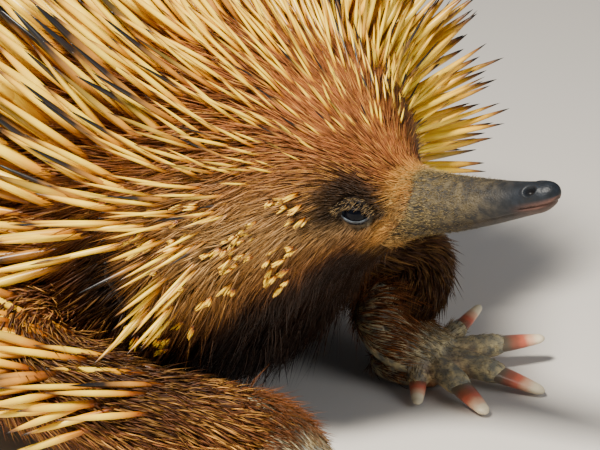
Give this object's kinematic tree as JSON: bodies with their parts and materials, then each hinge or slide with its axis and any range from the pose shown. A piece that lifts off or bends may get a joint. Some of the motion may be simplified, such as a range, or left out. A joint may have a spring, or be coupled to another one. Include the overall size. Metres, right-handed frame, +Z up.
{
  "type": "echidna",
  "caption": "Short-beaked echidna at life size, a still model that stands on its four feet with its head turned a little to its left.",
  "frame": {"origin": "on the floor, at the middle of the whole model's bounding box seen from above", "axes": "+X to the front of the trunk, +Y to the animal's left, +Z up; the head is turned about 25 degrees from +X towards +Y and the beak is raised about 16 degrees"},
  "size_m": [0.4392, 0.3418, 0.1971],
  "materials": {
    "coat": "reddish-brown fur with cream spines tipped black",
    "limb_fur": "short dark brown fur",
    "foot_skin": "wrinkled grey-brown skin with sparse hair",
    "beak_skin": "bare dark grey-brown skin, smoother towards the tip",
    "ear_skin": "soft dark skin",
    "claw_horn": "worn horn, pink at the root and ivory at the tip",
    "eye": "wet, nearly black"
  },
  "bodies": {
    "root": {"torso": "coat", "neck": "coat", "head": "coat", "tail": "coat", "beak": "beak_skin", "eye_right": "eye", "eye_left": "eye", "ear_right": "ear_skin", "ear_left": "ear_skin", "foreleg_right": "limb_fur", "foreleg_left": "limb_fur", "hindleg_right": "limb_fur", "hindleg_left": "limb_fur", "forefoot_right": "foot_skin", "forefoot_left": "foot_skin", "hindfoot_right": "foot_skin", "hindfoot_left": "foot_skin", "claw_forefoot_right_first": "claw_horn", "claw_forefoot_right_second": "claw_horn", "claw_forefoot_right_third": "claw_horn", "claw_forefoot_right_fourth": "claw_horn", "claw_forefoot_right_fifth": "claw_horn", "claw_forefoot_left_first": "claw_horn", "claw_forefoot_left_second": "claw_horn", "claw_forefoot_left_third": "claw_horn", "claw_forefoot_left_fourth": "claw_horn", "claw_forefoot_left_fifth": "claw_horn", "claw_hindfoot_right_first": "claw_horn", "claw_hindfoot_right_second": "claw_horn", "claw_hindfoot_right_third": "claw_horn", "claw_hindfoot_right_fourth": "claw_horn", "claw_hindfoot_right_fifth": "claw_horn", "claw_hindfoot_left_first": "claw_horn", "claw_hindfoot_left_second": "claw_horn", "claw_hindfoot_left_third": "claw_horn", "claw_hindfoot_left_fourth": "claw_horn", "claw_hindfoot_left_fifth": "claw_horn"}
  },
  "joints": []
}
